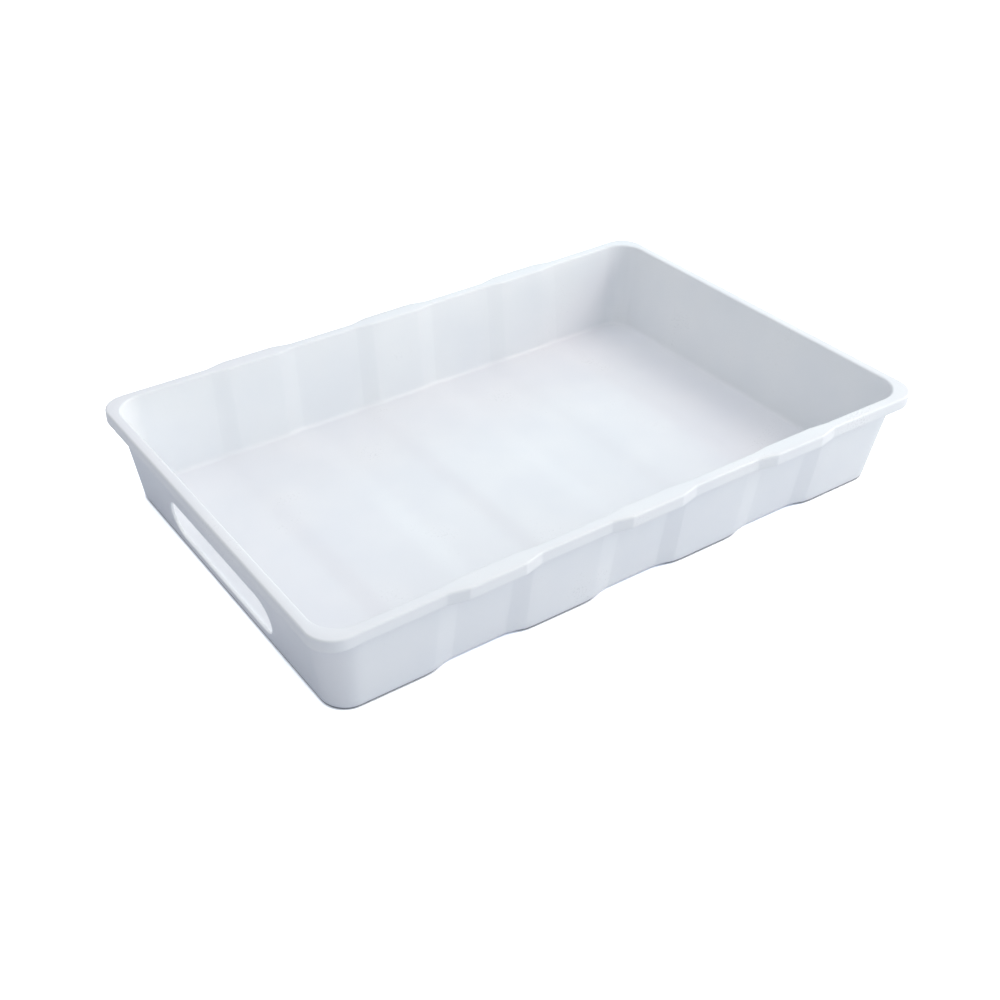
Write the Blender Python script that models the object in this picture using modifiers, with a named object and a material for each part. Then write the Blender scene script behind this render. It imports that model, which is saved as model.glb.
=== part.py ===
"""Moulded plastic paint tray: one thin-walled shell with a turned-over rim and a hand slot.

Frame: metres, +Z up, origin under the middle of the base, +X along the tray, away from the slot.
"""
import math

import bmesh
import bpy
import numpy as np

# Overall size, over the outer face of the rim's lip
RIM_LENGTH = 0.380
RIM_WIDTH = 0.248
TRAY_HEIGHT = 0.056
RIM_CORNER_RADIUS = 0.0147

# Moulded section
WALL_THICKNESS = 0.002
LIP_DEPTH = 0.0073
RIM_TOP_WIDTH = 0.0062
RIM_INSIDE_RADIUS = 0.0005
WALL_TOP_CORNER_RADIUS = 0.018
BASE_INSET = 0.0118
BASE_CORNER_RADIUS = 0.0137
BASE_EDGE_RADIUS = 0.003

# Three ribs run over the floor and up both long walls, pressed in from outside;
# the lip bulges out over each of them
RIB_COUNT = 3
RIB_PITCH = 0.0965
RIB_WIDTH = 0.043
RIB_RAMP = 0.011
RIB_BASE_DEPTH = 0.0020
RIB_TOP_DEPTH = 0.0012
RIB_FLOOR_RISE = 0.0012
LIP_BULGE = 0.0026
SIDE_BOW = 0.0015

# Hand slot through the wall at the -X end
SLOT_LENGTH = 0.113
SLOT_HEIGHT = 0.023
SLOT_CENTRE_Z = 0.0177
SLOT_CUTTER_DEPTH = 0.030

# Fineness of the mesh
CORNER_STEPS = 8
RAMP_STEPS = 2
BASE_EDGE_STEPS = 4
SLOT_END_STEPS = 14

TRAY_COLOUR = (0.90, 0.91, 0.93, 1.0)
TRAY_ROUGHNESS = 0.28


def clear_scene():
    for old in list(bpy.data.objects):
        bpy.data.objects.remove(old, do_unlink=True)


def new_collection(name):
    collection = bpy.data.collections.new(name)
    bpy.context.scene.collection.children.link(collection)
    return collection


def tray_material():
    material = bpy.data.materials.new("white_polypropylene")
    material.use_nodes = True
    shader = material.node_tree.nodes["Principled BSDF"]
    shader.inputs["Base Color"].default_value = TRAY_COLOUR
    shader.inputs["Roughness"].default_value = TRAY_ROUGHNESS
    shader.inputs["Metallic"].default_value = 0.0
    return material


def rib_centres():
    first = -RIB_PITCH * (RIB_COUNT - 1) / 2
    return [first + RIB_PITCH * i for i in range(RIB_COUNT)]


def rib_amount(x):
    """0 between the ribs, 1 on a rib's flat, with a straight ramp at each of its edges."""
    nearest = min(abs(x - centre) for centre in rib_centres())
    return min(max((RIB_WIDTH / 2 + RIB_RAMP / 2 - nearest) / RIB_RAMP, 0.0), 1.0)


def side_stations():
    """The places along a long side, from -X to +X, where its section changes."""
    stations = []
    for centre in rib_centres():
        for edge in (centre - RIB_WIDTH / 2, centre + RIB_WIDTH / 2):
            stations += [edge + RIB_RAMP * (k / RAMP_STEPS - 0.5) for k in range(RAMP_STEPS + 1)]
    gaps = [(stations[i] + stations[i + 1]) / 2 for i in range(len(stations) - 1)
            if stations[i + 1] - stations[i] > RIB_RAMP]
    return sorted(stations + gaps)


def half_outline(inset, radius):
    """One long side with its two corners, as (x, distance from the X axis), at a given inset."""
    half_x = RIM_LENGTH / 2 - inset
    half_y = RIM_WIDTH / 2 - inset
    turns = [math.pi / 2 * k / CORNER_STEPS for k in range(CORNER_STEPS + 1)]
    corner = [(half_x - radius + radius * math.cos(a), half_y - radius + radius * math.sin(a))
              for a in turns]
    straight = [(x, half_y) for x in side_stations()]
    return [(-x, y) for x, y in corner] + straight + corner[::-1]


def section():
    """The outer skin's section, from the lip's inner foot to the base, as (inset, z, radius)."""
    fillet = RIM_INSIDE_RADIUS
    wall_top_inset = RIM_TOP_WIDTH - WALL_THICKNESS
    ceiling = TRAY_HEIGHT - WALL_THICKNESS
    quarter = [math.pi / 2 * k / 2 for k in range(3)]
    rings = [(WALL_THICKNESS, TRAY_HEIGHT - LIP_DEPTH)]
    rings += [(WALL_THICKNESS + fillet * (1 - math.cos(a)), ceiling - fillet * (1 - math.sin(a)))
              for a in quarter]
    rings = [(inset, z, RIM_CORNER_RADIUS - inset) for inset, z in rings]
    wall_top = [(wall_top_inset - fillet * (1 - math.sin(a)), ceiling - fillet * (1 - math.cos(a)))
                for a in quarter]
    rings += [(inset, z, WALL_TOP_CORNER_RADIUS + wall_top_inset - inset) for inset, z in wall_top]

    draft = math.atan2(BASE_INSET - wall_top_inset, ceiling - fillet)
    touch_z = BASE_EDGE_RADIUS * (1 - math.sin(draft))
    centre_inset = BASE_INSET - touch_z * math.tan(draft) + BASE_EDGE_RADIUS * math.cos(draft)
    for k in range(BASE_EDGE_STEPS + 1):
        turn = draft + (math.pi / 2 - draft) * k / BASE_EDGE_STEPS
        inset = centre_inset - BASE_EDGE_RADIUS * math.cos(turn)
        z = BASE_EDGE_RADIUS * (1 - math.sin(turn))
        rings.append((inset, z, BASE_CORNER_RADIUS - (inset - BASE_INSET)))
    return rings


def skin_point(x, y, z, on_lip):
    """Shape a point of the plain drafted box: ribs press the walls in, lift the floor and push
    the lip out, and the long sides bow in.
    """
    height = min(z / (TRAY_HEIGHT - LIP_DEPTH), 1.0)
    along = 1 - (2 * x / RIM_LENGTH) ** 2
    wall_depth = RIB_BASE_DEPTH + (RIB_TOP_DEPTH - RIB_BASE_DEPTH) * height
    pressed = (-LIP_BULGE if on_lip else wall_depth) * rib_amount(x) + SIDE_BOW * height * along
    lifted = RIB_FLOOR_RISE * rib_amount(x) * (1 - height)
    return (x, math.copysign(abs(y) - pressed, y), z + lifted)


def skin_mesh():
    """The outer skin as one open sheet: rings down the wall, then strips across the base."""
    rings = section()
    verts = []
    for inset, z, radius in rings:
        half = half_outline(inset, radius)
        on_lip = inset < RIM_TOP_WIDTH / 2
        verts += [skin_point(x, -y, z, on_lip) for x, y in half]
        verts += [skin_point(x, y, z, on_lip) for x, y in reversed(half)]
    half_count = len(half_outline(0.0, RIM_CORNER_RADIUS))
    count = 2 * half_count
    faces = []
    for ring in range(len(rings) - 1):
        low = (ring + 1) * count
        high = ring * count
        for i in range(count):
            after = (i + 1) % count
            faces.append((high + i, low + i, low + after, high + after))
    base = (len(rings) - 1) * count
    for i in range(half_count - 1):
        opposite = base + count - 1 - i
        faces.append((base + i, opposite, opposite - 1, base + i + 1))
    mesh = bpy.data.meshes.new("paint_tray")
    mesh.from_pydata(verts, [], faces)
    return mesh


def slot_cutter(collection):
    """A round-ended bar, lying along X through the end wall."""
    radius = SLOT_HEIGHT / 2
    reach = SLOT_LENGTH / 2 - radius
    turns = np.linspace(-math.pi / 2, math.pi / 2, SLOT_END_STEPS + 1)
    right = [(reach + radius * math.cos(a), radius * math.sin(a)) for a in turns]
    outline = right + [(-x, -y) for x, y in right]

    curve = bpy.data.curves.new("slot_outline", "CURVE")
    curve.dimensions = "2D"
    curve.fill_mode = "BOTH"
    curve.extrude = SLOT_CUTTER_DEPTH / 2
    spline = curve.splines.new("POLY")
    spline.points.add(len(outline) - 1)
    spline.use_cyclic_u = True
    for point, (x, y) in zip(spline.points, outline):
        point.co = (x, y, 0.0, 1.0)
    flat = bpy.data.objects.new("slot_outline", curve)
    collection.objects.link(flat)
    flat.rotation_euler = (math.pi / 2, 0.0, math.pi / 2)
    flat.location = (-RIM_LENGTH / 2 + BASE_INSET, 0.0, SLOT_CENTRE_Z)
    bpy.context.view_layer.update()

    evaluated = flat.evaluated_get(bpy.context.evaluated_depsgraph_get())
    mesh = bpy.data.meshes.new_from_object(evaluated)
    weld_mesh(mesh)
    cutter = bpy.data.objects.new("hand_slot_cutter", mesh)
    cutter.matrix_world = flat.matrix_world.copy()
    bpy.data.objects.remove(flat, do_unlink=True)
    collection.objects.link(cutter)
    cutter.hide_render = True
    cutter.display_type = "WIRE"
    return cutter


def weld_mesh(mesh):
    cage = bmesh.new()
    cage.from_mesh(mesh)
    bmesh.ops.remove_doubles(cage, verts=cage.verts, dist=0.00001)
    bmesh.ops.recalc_face_normals(cage, faces=cage.faces)
    cage.to_mesh(mesh)
    cage.free()


def build_tray(parts, cutters):
    tray = bpy.data.objects.new("paint_tray", skin_mesh())
    parts.objects.link(tray)
    tray.data.materials.append(tray_material())
    tray.data.shade_smooth()
    tray.data.set_sharp_from_angle(angle=math.radians(35))

    thickness = tray.modifiers.new("wall_thickness", "SOLIDIFY")
    thickness.thickness = WALL_THICKNESS
    thickness.offset = -1.0
    thickness.use_even_offset = True
    thickness.use_quality_normals = True

    slot = tray.modifiers.new("hand_slot", "BOOLEAN")
    slot.operation = "DIFFERENCE"
    slot.solver = "EXACT"
    slot.object = slot_cutter(cutters)


def main():
    clear_scene()
    parts = new_collection("paint_tray_parts")
    cutters = new_collection("cutters")
    build_tray(parts, cutters)


main()
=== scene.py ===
import math

import bmesh
import bpy
import numpy as np
from mathutils import Matrix, Vector


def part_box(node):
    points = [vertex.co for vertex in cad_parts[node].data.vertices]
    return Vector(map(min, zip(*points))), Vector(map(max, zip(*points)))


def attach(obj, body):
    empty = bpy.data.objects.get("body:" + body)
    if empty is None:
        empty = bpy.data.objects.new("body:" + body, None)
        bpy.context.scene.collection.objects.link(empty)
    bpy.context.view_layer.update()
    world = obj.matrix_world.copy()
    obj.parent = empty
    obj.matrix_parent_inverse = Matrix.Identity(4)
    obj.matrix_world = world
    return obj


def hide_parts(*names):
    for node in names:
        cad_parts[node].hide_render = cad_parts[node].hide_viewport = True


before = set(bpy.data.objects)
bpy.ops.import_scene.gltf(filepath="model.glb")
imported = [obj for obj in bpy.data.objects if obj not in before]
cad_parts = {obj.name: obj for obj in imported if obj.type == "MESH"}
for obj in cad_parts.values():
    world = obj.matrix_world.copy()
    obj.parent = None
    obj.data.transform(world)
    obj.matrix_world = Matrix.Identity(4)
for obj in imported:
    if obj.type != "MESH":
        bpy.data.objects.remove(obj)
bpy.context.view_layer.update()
trayLow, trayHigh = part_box("paint_tray")
print("frame loaded,", len(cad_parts), "node")


# the tray: one moulded shell, its rim turned over, with ribs and a hand slot

trayShape = {
    "width": 0.248,           # over the rim's corners; the long sides bow in between them
    "wall": 0.002,            # thickness of the moulding
    "lipDrop": 0.0073,        # how far the rim's lip turns down
    "rimTop": 0.0062,         # from the lip's face to the rim's inside edge
    "rimRound": 0.0012,       # radius over the rim's two edges
    "channelRound": 0.0004,   # radius in the two corners under the rim
    "lipRound": 0.0006,       # radius on the lip's foot
    "rimCorner": 0.0147,      # plan radius of the lip's corners
    "wallCorner": 0.018,      # plan radius of the wall's corners, just under the rim
    "baseInset": 0.0118,      # base edge, inwards from the lip's face
    "baseCorner": 0.0137,     # plan radius of the base's corners
    "baseRound": 0.003,       # radius between the walls and the base
    "floorRound": 0.003,      # radius between the walls and the floor inside
    "sideBow": 0.0015,        # how far the long sides bow in at the rim
}
ribShape = {
    "count": 3,
    "pitch": 0.0965,
    "width": 0.043,
    "ramp": 0.011,            # length of the slope at a rib's edge
    "rampRound": 0.0016,      # length over which the slope's two ends are rounded
    "baseDepth": 0.0020,      # pressed in from outside, on the long walls, at the base
    "topDepth": 0.0012,       # the same at the rim
    "lipBulge": 0.0026,       # pushed out, on the lip
    "floorRise": 0.0012,      # lifted, over the floor
    "floorWiden": 0.010,      # how much wider a rib is over the floor than on the walls
}
slotShape = {
    "length": 0.113,
    "height": 0.023,
    "centreZ": 0.0177,
    "edgeRound": 0.0006,
    "holdGap": 0.0005,        # flat strip kept round the rounded edge
}
meshDetail = {
    "cornerCells": 12,
    "sideCell": 0.003,        # longest cell along the ribbed middle of a long side
    "bendCells": 4,           # over each bend of a rib
    "shoulderCells": 20,      # between the ribs and a corner
    "endCells": 60,           # across an end; even, so that a column stands in the middle
    "roundCells": 6,          # in a quarter round
    "baseCells": 8,           # in the round under the base
    "smallCells": 3,          # in the small rounds of the lip and its channel
    "lipRows": 4,             # down the lip's face
    "channelRows": 3,         # down the lip's inside
    "edgeCells": 4,           # over the slot's rounded edge
    "ribbedHalf": 0.1292,     # the ribs lie within this distance of the middle
    "upperRows": (0.039, 0.045, 0.050),  # heights of the wall's rows above the slot's patch
    "holdStrip": 0.0006,      # narrow strip beside a round, so that its shading stays clean
    "patchLow": 0.0048,       # the slot's patch of wall, from this height
    "patchHigh": 0.0335,
    "patchRows": 16,
    "patchColumns": 18,       # each side of the middle
    "straightColumns": 13,    # of those, the ones over the slot's straight part
    "patchRings": 6,
    "patchEase": 0.8,         # below 1, the patch's rings are closer together at the slot
    "mergeGap": 0.000002,
}


def arcPoints(centre, radius, start, end, cells):
    # centre + radius (cos a, sin a), with a from start to end in degrees
    a = np.radians(np.linspace(start, end, cells + 1))
    return np.stack([centre[0] + radius * np.cos(a), centre[1] + radius * np.sin(a)], axis=1)


def wallLine(low, high):
    # points on a straight line low + (high - low) t, at heights shared by the inner and outer skins
    m = meshDetail
    patch = np.linspace(m["patchLow"], m["patchHigh"], m["patchRows"] + 1)
    z = np.concatenate([patch, m["upperRows"], [high[1] - m["holdStrip"]]])
    return np.stack([np.interp(z, [low[1], high[1]], [low[0], high[0]]), z], axis=1)


def traySection():
    # rows of (inset, height, skin), from the inner floor over the rim and down to the underside;
    # skin is the wall's thickness on the inner side and 0 on the outer side
    s, m = trayShape, meshDetail
    top = trayHigh.z
    wallTop = s["rimTop"] - s["wall"]
    spring = top - s["rimRound"]
    channelTop = top - s["wall"] - s["channelRound"]
    draft = math.atan2(s["baseInset"] - wallTop, spring)
    touch = s["baseRound"] * (1 - math.sin(draft))
    baseMiddle = s["baseInset"] - touch * math.tan(draft) + s["baseRound"] * math.cos(draft)
    baseCentre = (baseMiddle, s["baseRound"])
    rimCentre = (s["rimTop"] - s["rimRound"], spring)
    lipCentre = (s["rimRound"], spring)
    lean = math.degrees(draft)
    footCentre = top - s["lipDrop"] + s["lipRound"]
    cells, few = m["roundCells"], m["smallCells"]

    more = s["floorRound"] - s["baseRound"] + s["wall"]
    floorInset = baseMiddle + more * (1 - math.sin(draft)) / math.cos(draft)
    floorCentre = (floorInset, s["wall"] + s["floorRound"])
    floorRound = arcPoints(floorCentre, s["floorRound"], 270, 180 + lean, cells)
    rimInside = arcPoints(rimCentre, s["rimRound"], lean, 90, cells)
    rimOutside = arcPoints(lipCentre, s["rimRound"], 90, 180, cells)
    footOutside = arcPoints((s["lipRound"], footCentre), s["lipRound"], 180, 270, few)
    footInside = arcPoints((s["wall"] - s["lipRound"], footCentre), s["lipRound"], 270, 360, few)
    channelOutside = arcPoints((s["wall"] + s["channelRound"], channelTop),
                               s["channelRound"], 180, 90, few)
    channelInside = arcPoints((wallTop - s["channelRound"], channelTop),
                              s["channelRound"], 90, lean, few)
    baseOutside = arcPoints(baseCentre, s["baseRound"], 180 + lean, 270, m["baseCells"])
    innerWall = wallLine(floorRound[-1], rimInside[0])
    outerWall = wallLine(baseOutside[0], channelInside[-1])[::-1]
    lipFace = np.linspace(rimOutside[-1], footOutside[0], m["lipRows"] + 1)[1:-1]
    lipInside = np.linspace(footInside[-1], channelOutside[0], m["channelRows"] + 1)[1:-1]
    flatHold = np.array([[m["holdStrip"], 0.0]])

    inner = np.concatenate([floorRound[:1] + flatHold, floorRound, innerWall, rimInside])
    lip = np.concatenate([rimOutside, lipFace, footOutside, footInside, lipInside])
    outer = np.concatenate([lip, channelOutside, channelInside, outerWall, baseOutside,
                            baseOutside[-1:] + flatHold])
    skin = np.concatenate([np.full(len(inner), s["wall"]), np.zeros(len(outer))])
    innerPatch = 1 + len(floorRound)
    outerPatch = len(inner) + len(outer) - 1 - len(baseOutside) - 1 - m["patchRows"]
    return np.column_stack([np.concatenate([inner, outer]), skin]), innerPatch, outerPatch


def cornerRadius(inset, skin):
    # plan radius of the shell's corner: parallel to the lip's face over the lip, parallel to the
    # wall's top over the rim's inside edge, closing down the wall, parallel to the base under it
    s = trayShape
    wallTop = s["rimTop"] - s["wall"]
    lip = s["rimCorner"] - inset
    rim = s["wallCorner"] + wallTop - inset
    closing = [s["wallCorner"], s["baseCorner"]]
    wall = np.interp(inset - skin, [wallTop, s["baseInset"]], closing) - skin
    base = s["baseCorner"] + s["baseInset"] - inset
    inner = np.where(inset - skin < wallTop, rim, np.minimum(wall, base))
    return np.where(inset < s["rimTop"] / 2, lip, inner)


def ribCentres():
    return (np.arange(ribShape["count"]) - (ribShape["count"] - 1) / 2) * ribShape["pitch"]


def sidePlaces():
    # places along the ribbed middle: close together over each bend of a rib, evenly spaced between;
    # they are read off a running total of cells, one for each started sideCell of a gap
    r, m = ribShape, meshDetail
    edges = np.add.outer(ribCentres(), [-r["width"] / 2, r["width"] / 2])
    bends = np.sort(np.add.outer(edges, [-r["ramp"] / 2, r["ramp"] / 2]).ravel())
    near = np.linspace(-0.5, 0.5, m["bendCells"] + 1) * r["rampRound"]
    bendPlaces = np.add.outer(bends, near).ravel()
    fixed = np.concatenate([[-m["ribbedHalf"]], bendPlaces, [m["ribbedHalf"]]])
    total = np.concatenate([[0], np.cumsum(np.ceil(np.diff(fixed) / m["sideCell"]))])
    return np.interp(np.arange(total[-1] + 1), total, fixed)


def ribAmount(x, width):
    # 0 between the ribs and 1 on a rib, with a straight ramp at each edge; its two bends are
    # rounded by the mean of the ramp over a short length, taken from its running total t^2 / 2
    r = ribShape
    nearest = np.abs(x[..., None] - ribCentres()).min(axis=-1)
    t = (width / 2 + r["ramp"] / 2 - nearest) / r["ramp"]
    half = r["rampRound"] / r["ramp"] / 2

    def total(t):
        return np.where(t < 1, np.clip(t, 0, 1) ** 2 / 2, t - 0.5)

    return (total(t + half) - total(t - half)) / (2 * half)


def frontSide(section):
    # (row, place along the side): a quarter turn, a straight and a quarter turn, from -X to +X;
    # the ribs press the wall in, lift the floor and push the lip out, blending across the rim,
    # and the side bows in: 1 - (2 x / length)^2 of sideBow
    s, r, m = trayShape, ribShape, meshDetail
    length = trayHigh.x - trayLow.x
    inset, z, skin = section[:, :1], section[:, 1:2], section[:, 2:]
    radius = cornerRadius(inset, skin)
    halfX = length / 2 - inset
    halfY = s["width"] / 2 - inset
    a = np.linspace(0, np.pi / 2, m["cornerCells"] + 1)
    cornerX = halfX - radius + radius * np.cos(a)
    cornerY = halfY - radius + radius * np.sin(a)
    middle = sidePlaces()
    share = np.linspace(0, 1, m["shoulderCells"] + 1)[1:-1]
    shoulder = m["ribbedHalf"] + (halfX - radius - m["ribbedHalf"]) * share
    middleX = np.broadcast_to(middle, (len(section), len(middle)))
    x = np.hstack([-cornerX, -shoulder[:, ::-1], middleX, shoulder, cornerX[:, ::-1]])
    straightY = np.broadcast_to(halfY, (len(section), len(middle) + 2 * len(share)))
    y = np.hstack([cornerY, straightY, cornerY[:, ::-1]])

    lipFoot = trayHigh.z - s["lipDrop"]
    height = np.clip(z / lipFoot, 0, 1)
    rib = ribAmount(x, r["width"])
    floorRib = ribAmount(x, r["width"] + r["floorWiden"])
    wallDepth = r["baseDepth"] + (r["topDepth"] - r["baseDepth"]) * height
    across = np.clip((inset - s["wall"]) / (s["rimTop"] - s["wall"] - s["rimRound"]), 0, 1)
    onLip = (1 - across) * (z > lipFoot - s["lipRound"] / 2) * (inset < s["rimTop"])
    pressed = wallDepth * (1 - onLip) - r["lipBulge"] * onLip
    y = y - pressed * rib - s["sideBow"] * height * (1 - (2 * x / length) ** 2)
    lifted = z + r["floorRise"] * floorRib * (1 - height)
    return np.stack([x, -y, lifted], axis=-1)


def betweenSides(start, end, cells):
    # start + (end - start) t, for the places strictly between two columns of points
    t = np.linspace(0, 1, cells + 1)[1:-1, None]
    return start[:, None, :] * (1 - t) + end[:, None, :] * t


def slotOutline(grow):
    # a stadium: a half straight out from the middle, then a half turn of radius + grow;
    # its points are spaced to suit the patch's edge, starting over the straight part's -Y end
    sl, m = slotShape, meshDetail
    radius = sl["height"] / 2
    half = sl["length"] / 2 - radius
    straightCells = 2 * m["straightColumns"]
    turnCells = m["patchRows"] + 2 * (m["patchColumns"] - m["straightColumns"])
    t = np.linspace(0, 1, straightCells, endpoint=False)
    a = np.pi * np.linspace(0, 1, turnCells, endpoint=False)
    y = np.concatenate([half * (2 * t - 1), half + (radius + grow) * np.sin(a)])
    z = (radius + grow) * np.concatenate([np.ones(straightCells), np.cos(a)])
    upperHalf = np.stack([y, z], axis=1)
    return np.concatenate([upperHalf, -upperHalf]) + [0, sl["centreZ"]]


def slotSurface(innerLoop, outerLoop):
    # rings from the inner wall, over a rounded edge, through the wall and out over another edge;
    # a ring is (x, y, z) with x on the drafted wall, sunk by r (1 - cos t) and wider than the
    # slot by r (1 - sin t)
    sl, m = slotShape, meshDetail
    turn = np.radians(np.linspace(0, 90, m["edgeCells"] + 1))
    grow = sl["edgeRound"] * (1 - np.sin(turn))
    depth = sl["edgeRound"] * (1 - np.cos(turn))

    def skinRings(loop, sign):
        # sign is the way into the wall along x
        (xLow, _, zLow), (xHigh, _, zHigh) = loop[loop[:, 2].argmin()], loop[loop[:, 2].argmax()]

        def onWall(outline, sunk):
            x = np.interp(outline[:, 1], [zLow, zHigh], [xLow, xHigh]) + sign * sunk
            return np.column_stack([x, outline])

        hold = onWall(slotOutline(sl["edgeRound"] + sl["holdGap"]), 0)
        t = (np.linspace(0, 1, m["patchRings"]) ** m["patchEase"])[:, None, None]
        patch = loop[None] * (1 - t) + hold[None] * t
        edge = [onWall(slotOutline(g), d)[None] for g, d in zip(grow, depth)]
        return np.concatenate([patch] + edge)

    return np.concatenate([skinRings(innerLoop, -1), skinRings(outerLoop, 1)[::-1]])


def gridFaces(rows, columns, start, closed):
    # quads of a grid whose points are numbered row by row from start;
    # closed joins the last column to the first
    r = np.arange(rows - 1)[:, None]
    c = np.arange(columns if closed else columns - 1)[None, :]
    after = (c + 1) % columns
    quads = np.stack([r * columns + c, r * columns + after,
                      (r + 1) * columns + after, (r + 1) * columns + c], axis=-1)
    return quads + start


def trayMesh():
    # the skin's rings round the tray, a patch of wall left out on each skin for the slot's rings,
    # and two sheets that close the floor and the underside
    m = meshDetail
    section, innerPatch, outerPatch = traySection()
    front = frontSide(section)
    back = front * [1, -1, 1]
    farEnd = betweenSides(front[:, -1], back[:, -1], m["endCells"])
    nearEnd = betweenSides(back[:, 0], front[:, 0], m["endCells"])
    rings = np.concatenate([front, farEnd, back[:, ::-1], nearEnd], axis=1)
    rowCount, ringCount = rings.shape[:2]

    quads = gridFaces(rowCount, ringCount, 0, True)
    middle = ringCount - m["endCells"] // 2
    left, right = middle - m["patchColumns"], middle + m["patchColumns"]
    kept = np.ones(quads.shape[:2], dtype=bool)
    loops = []
    for first in (innerPatch, outerPatch):
        last = first + m["patchRows"]
        kept[first:last, left:right] = False
        rising = rings[first, middle, 2] < rings[last, middle, 2]
        low, high, step = (first, last, 1) if rising else (last, first, -1)
        # columns run from +Y to -Y here, so the loop goes backwards over the top, from -Y to +Y
        top = rings[high, right:left:-1]
        side = rings[high:low:-step, left]
        bottom = rings[low, left:right]
        upSide = rings[low:high:step, right]
        loop = np.concatenate([top, side, bottom, upSide])
        loops.append(np.roll(loop, -(m["patchColumns"] - m["straightColumns"]), axis=0))
    slot = slotSurface(*loops)

    t = np.linspace(0, 1, m["endCells"] + 1)[:, None]
    sheets = [front[row][:, None] * (1 - t) + back[row][:, None] * t for row in (0, rowCount - 1)]

    points = [rings.reshape(-1, 3)]
    faces = [quads[kept]]
    start = len(points[0])
    for grid, closed in ((slot, True), (sheets[0], False), (sheets[1], False)):
        faces.append(gridFaces(grid.shape[0], grid.shape[1], start, closed).reshape(-1, 4))
        points.append(grid.reshape(-1, 3))
        start += len(points[-1])
    return np.concatenate(points), np.concatenate(faces)


def newPiece(name, points, faces):
    mesh = bpy.data.meshes.new(name)
    mesh.from_pydata(points.tolist(), [], faces.tolist())
    cage = bmesh.new()
    cage.from_mesh(mesh)
    bmesh.ops.remove_doubles(cage, verts=cage.verts, dist=meshDetail["mergeGap"])
    bmesh.ops.recalc_face_normals(cage, faces=cage.faces)
    openEdges = sum(1 for e in cage.edges if len(e.link_faces) != 2)
    volume = cage.calc_volume(signed=True)
    cage.to_mesh(mesh)
    cage.free()
    mesh.shade_smooth()
    piece = bpy.data.objects.new(name, mesh)
    bpy.context.scene.collection.objects.link(piece)
    print(name, "has", len(mesh.polygons), "faces,", openEdges, "open edges,",
          round(volume * 1e6, 1), "cm3")
    return piece


points, faces = trayMesh()
tray = newPiece("trayShell", points, faces)
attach(tray, "root")
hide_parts("paint_tray")


# white polypropylene, glossy, with a fine moulded skin

plasticFinish = {
    "colour": (0.86, 0.875, 0.90),
    "shade": (0.83, 0.85, 0.885),    # where the resin flowed a little unevenly
    "roughLow": 0.27,
    "roughHigh": 0.36,
    "grainScale": 900.0,             # per metre
    "waveScale": 22.0,
    "grainHeight": 0.000015,
    "waveHeight": 0.00012,
    "ior": 1.49,
}
skinValues = ("grainScale", "waveScale", "roughLow", "roughHigh", "grainHeight", "waveHeight")


def mouldGroup():
    # slow flow marks and a fine grain over Object coordinates,
    # as a colour mask, a roughness and a height
    group = bpy.data.node_groups.new("mouldedSkin", "ShaderNodeTree")
    face = group.interface
    face.new_socket("vector", in_out="INPUT", socket_type="NodeSocketVector")
    for name in skinValues:
        face.new_socket(name, in_out="INPUT", socket_type="NodeSocketFloat")
    for name in ("flow", "roughness", "height"):
        face.new_socket(name, in_out="OUTPUT", socket_type="NodeSocketFloat")
    nodes, links = group.nodes, group.links
    source = nodes.new("NodeGroupInput")
    sink = nodes.new("NodeGroupOutput")

    def noise(scaleSocket, detail, rough):
        node = nodes.new("ShaderNodeTexNoise")
        node.inputs["Detail"].default_value = detail
        node.inputs["Roughness"].default_value = rough
        links.new(source.outputs["vector"], node.inputs["Vector"])
        links.new(source.outputs[scaleSocket], node.inputs["Scale"])
        return node.outputs["Fac"]

    def math2(operation, a, b):
        node = nodes.new("ShaderNodeMath")
        node.operation = operation
        for socket, value in zip(node.inputs, (a, b)):
            if isinstance(value, (int, float)):
                socket.default_value = value
            else:
                links.new(value, socket)
        return node.outputs[0]

    def stretched(value):
        # noise mostly lies between 0.35 and 0.65, which becomes the whole range
        node = nodes.new("ShaderNodeMapRange")
        node.inputs["From Min"].default_value = 0.35
        node.inputs["From Max"].default_value = 0.65
        links.new(value, node.inputs["Value"])
        return node

    grain = noise("grainScale", 3.0, 0.6)
    wave = noise("waveScale", 2.0, 0.5)
    links.new(stretched(wave).outputs["Result"], sink.inputs["flow"])

    rough = stretched(math2("ADD", math2("MULTIPLY", grain, 0.5), math2("MULTIPLY", wave, 0.5)))
    links.new(source.outputs["roughLow"], rough.inputs["To Min"])
    links.new(source.outputs["roughHigh"], rough.inputs["To Max"])
    links.new(rough.outputs["Result"], sink.inputs["roughness"])

    fine = math2("MULTIPLY", grain, source.outputs["grainHeight"])
    slow = math2("MULTIPLY", wave, source.outputs["waveHeight"])
    links.new(math2("ADD", fine, slow), sink.inputs["height"])
    return group


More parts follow.
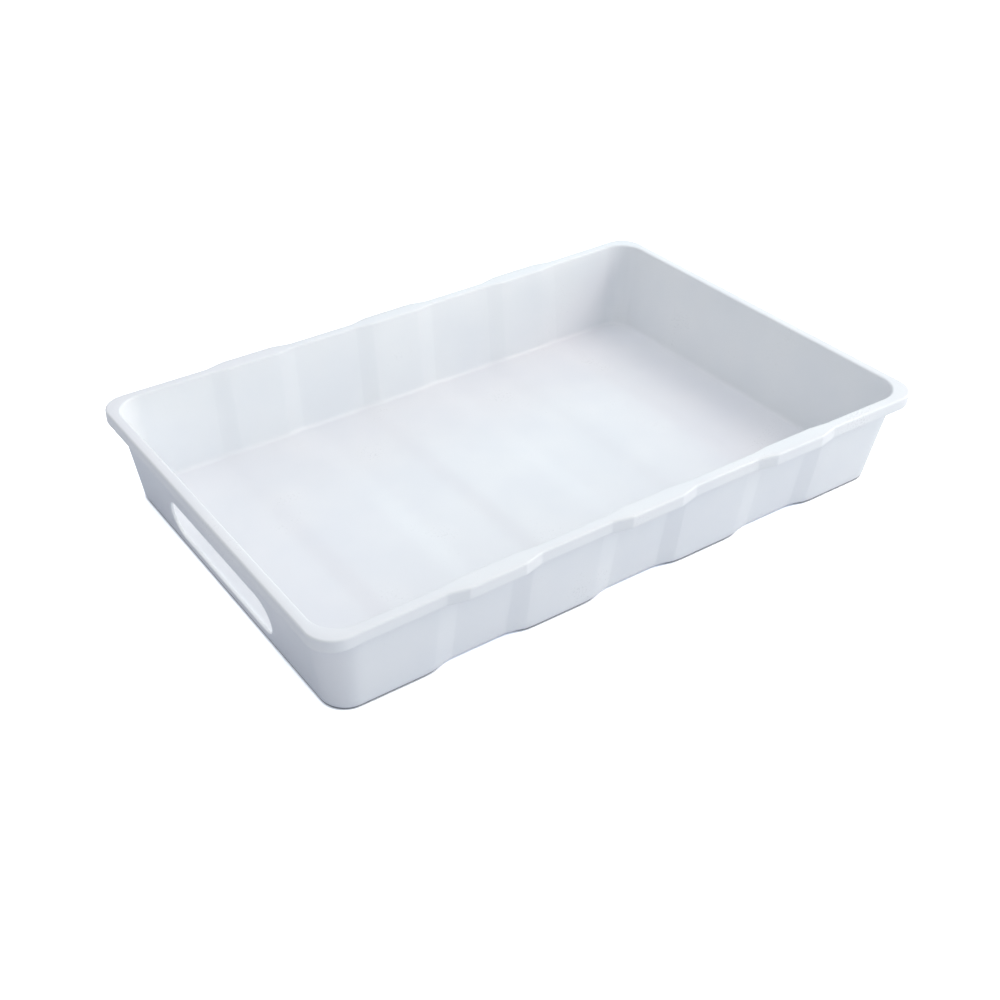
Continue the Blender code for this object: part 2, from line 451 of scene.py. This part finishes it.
def plasticMaterial(name, finish, mouldedSkin):
    material = bpy.data.materials.new(name)
    material.use_nodes = True
    nodes, links = material.node_tree.nodes, material.node_tree.links
    shader = nodes["Principled BSDF"]
    place = nodes.new("ShaderNodeTexCoord")
    skin = nodes.new("ShaderNodeGroup")
    skin.node_tree = mouldedSkin
    links.new(place.outputs["Object"], skin.inputs["vector"])
    for key in skinValues:
        skin.inputs[key].default_value = finish[key]
    tint = nodes.new("ShaderNodeMix")
    tint.data_type = "RGBA"
    tint.inputs["A"].default_value = (*finish["colour"], 1)
    tint.inputs["B"].default_value = (*finish["shade"], 1)
    links.new(skin.outputs["flow"], tint.inputs["Factor"])
    links.new(tint.outputs["Result"], shader.inputs["Base Color"])
    links.new(skin.outputs["roughness"], shader.inputs["Roughness"])
    bump = nodes.new("ShaderNodeBump")
    bump.inputs["Strength"].default_value = 1.0
    bump.inputs["Distance"].default_value = 1.0
    links.new(skin.outputs["height"], bump.inputs["Height"])
    links.new(bump.outputs["Normal"], shader.inputs["Normal"])
    shader.inputs["IOR"].default_value = finish["ior"]
    shader.inputs["Metallic"].default_value = 0.0
    return material


tray.data.materials.append(plasticMaterial("whitePlastic", plasticFinish, mouldGroup()))
print("white plastic made")


# pale floor, soft light, and the viewing angle

studio = {
    "floorHalf": 3.0,
    "floorPoints": 9,                 # along each side
    "floorColour": (0.70, 0.70, 0.70),
    "floorRoughness": 0.9,
    "floorGloss": 0.1,
    "floorGlow": (0.0, 0.01, 0.075),  # light that comes up from the floor
    "floorShown": 2.4,                # the floor shows as if it were this pale, so it stays white
    "paintedShadowReach": 0.0018,           # how far from the tray its contact line of painted shadow starts
    "paintedShadowShown": 0.3,              # how pale the painted shadow line's middle shows
    "paintedShadowOpen": (0.3, 0.8),        # how open to the sky the painted shadow line's middle and its edge are
    "worldColour": (0.955, 1.0, 0.97),
    "worldStrength": 0.516,
}
lamps = {
    # aim: from the tray towards the lamp
    "keyLight": {"aim": (0.62, -0.35, 0.72), "distance": 1.4, "size": 0.6,
                 "power": 3.9, "colour": (1.0, 0.8, 0.78)},
    "topLight": {"aim": (0.0, 0.15, 1.0), "distance": 1.4, "size": 1.5,
                 "power": 4.2, "colour": (0.91, 0.87, 1.0)},
    "frontLight": {"aim": (-0.25, -1.0, 0.65), "distance": 1.8, "size": 1.2,
                   "power": 2.2, "colour": (0.72, 0.77, 1.0)},
    "nearLight": {"aim": (0.7, -0.7, 0.45), "distance": 1.8, "size": 1.2,
                  "power": 8.4, "colour": (0.87, 1.0, 0.97)},
    "lowLight": {"aim": (1.0, -0.25, 0.1), "distance": 1.8, "size": 0.3,
                 "power": 7.6, "colour": (1.0, 0.95, 0.84)},
    "backLight": {"aim": (0.1, 1.0, 0.65), "distance": 1.8, "size": 1.2,
                  "power": 1.6, "colour": (0.72, 0.6, 1.0)},
    "farLight": {"aim": (0.7, 0.7, 0.65), "distance": 1.8, "size": 1.2,
                 "power": 4.2, "colour": (0.66, 0.95, 1.0)},
}
camera = {
    "place": (-0.3909, -0.5169, 0.4446),
    "yaw": 32.052,            # degrees from +Y towards +X
    "pitch": 35.053,          # downwards
    "roll": -1.308,
    "sensor": 36,
    "lens": 49.16,
    "shiftX": 0.0942,
    "shiftY": -0.0053,
}


def floorMaterial(name):
    # a pale matt floor; to the camera it shows whiter than it lights the tray, which leaves nothing
    # of its real shadow;
    # the line where the tray stands is painted shadow, darkened into the floor's colour where the
    # tray closes off its sky
    material = bpy.data.materials.new(name)
    material.use_nodes = True
    nodes, links = material.node_tree.nodes, material.node_tree.links
    shader = nodes["Principled BSDF"]
    out = nodes["Material Output"]
    shader.inputs["Base Color"].default_value = (*studio["floorColour"], 1)
    shader.inputs["Roughness"].default_value = studio["floorRoughness"]
    shader.inputs["Specular IOR Level"].default_value = studio["floorGloss"]
    shader.inputs["Emission Color"].default_value = (*studio["floorGlow"], 1)
    shader.inputs["Emission Strength"].default_value = 1.0
    # painted contact shadow: the floor colour the camera sees darkens within a few millimetres of
    # the tray, where the tray closes off the floor's sky
    near = nodes.new("ShaderNodeAmbientOcclusion")
    near.samples = 8
    near.inputs["Distance"].default_value = studio["paintedShadowReach"]
    line = nodes.new("ShaderNodeMapRange")
    for name, value in zip(("From Min", "From Max"), studio["paintedShadowOpen"]):
        line.inputs[name].default_value = value
    line.inputs["To Min"].default_value = studio["paintedShadowShown"]
    line.inputs["To Max"].default_value = studio["floorShown"]
    links.new(near.outputs["AO"], line.inputs["Value"])
    shown = nodes.new("ShaderNodeBsdfDiffuse")
    links.new(line.outputs["Result"], shown.inputs["Color"])
    chosen = nodes.new("ShaderNodeMixShader")
    path = nodes.new("ShaderNodeLightPath")
    links.new(path.outputs["Is Camera Ray"], chosen.inputs[0])
    links.new(shader.outputs[0], chosen.inputs[1])
    links.new(shown.outputs[0], chosen.inputs[2])
    links.new(chosen.outputs[0], out.inputs["Surface"])
    return material


def floorPiece():
    # a square of (x, y, lowest height of the tray), with x and y from -half to half
    half, count = studio["floorHalf"], studio["floorPoints"]
    u = np.linspace(-half, half, count)
    x, y = np.meshgrid(u, u)
    grid = np.stack([x, y, np.full_like(x, trayLow.z)], axis=-1)
    quads = gridFaces(count, count, 0, False)
    mesh = bpy.data.meshes.new("studioFloor")
    mesh.from_pydata(grid.reshape(-1, 3).tolist(), [], quads.reshape(-1, 4).tolist())
    piece = bpy.data.objects.new("studioFloor", mesh)
    bpy.context.scene.collection.objects.link(piece)
    piece.data.materials.append(floorMaterial("paleFloor"))


def softLamp(name, lamp):
    light = bpy.data.lights.new(name, "AREA")
    light.shape = "DISK"
    light.size = lamp["size"]
    light.energy = lamp["power"]
    light.color = lamp["colour"]
    piece = bpy.data.objects.new(name, light)
    bpy.context.scene.collection.objects.link(piece)
    aim = Vector(lamp["aim"]).normalized()
    piece.location = aim * lamp["distance"]
    piece.rotation_euler = aim.to_track_quat("Z", "Y").to_euler()


def studioWorld():
    world = bpy.data.worlds.new("softRoom")
    bpy.context.scene.world = world
    world.use_nodes = True
    background = world.node_tree.nodes["Background"]
    background.inputs["Color"].default_value = (*studio["worldColour"], 1)
    background.inputs["Strength"].default_value = studio["worldStrength"]


def setCamera():
    # the view direction from yaw and pitch, then the roll about it
    yaw, pitch, roll = (math.radians(camera[k]) for k in ("yaw", "pitch", "roll"))
    level = math.cos(pitch)
    ahead = Vector((math.sin(yaw) * level, math.cos(yaw) * level, -math.sin(pitch)))
    side = Vector((math.cos(yaw), -math.sin(yaw), 0))
    up = side.cross(ahead)
    right = math.cos(roll) * side + math.sin(roll) * up
    above = math.cos(roll) * up - math.sin(roll) * side
    data = bpy.data.cameras.new("viewCamera")
    data.sensor_width = camera["sensor"]
    data.lens = camera["lens"]
    data.shift_x = camera["shiftX"]
    data.shift_y = camera["shiftY"]
    data.clip_start = 0.01
    data.dof.use_dof = False
    view = bpy.data.objects.new("viewCamera", data)
    bpy.context.scene.collection.objects.link(view)
    turn = Matrix((right, above, -ahead)).transposed().to_4x4()
    view.matrix_world = Matrix.Translation(camera["place"]) @ turn
    bpy.context.scene.camera = view


floorPiece()
for lampName, lamp in lamps.items():
    softLamp(lampName, lamp)
studioWorld()
setCamera()
bpy.context.scene.view_settings.view_transform = "Standard"
print("floor, light and camera set")
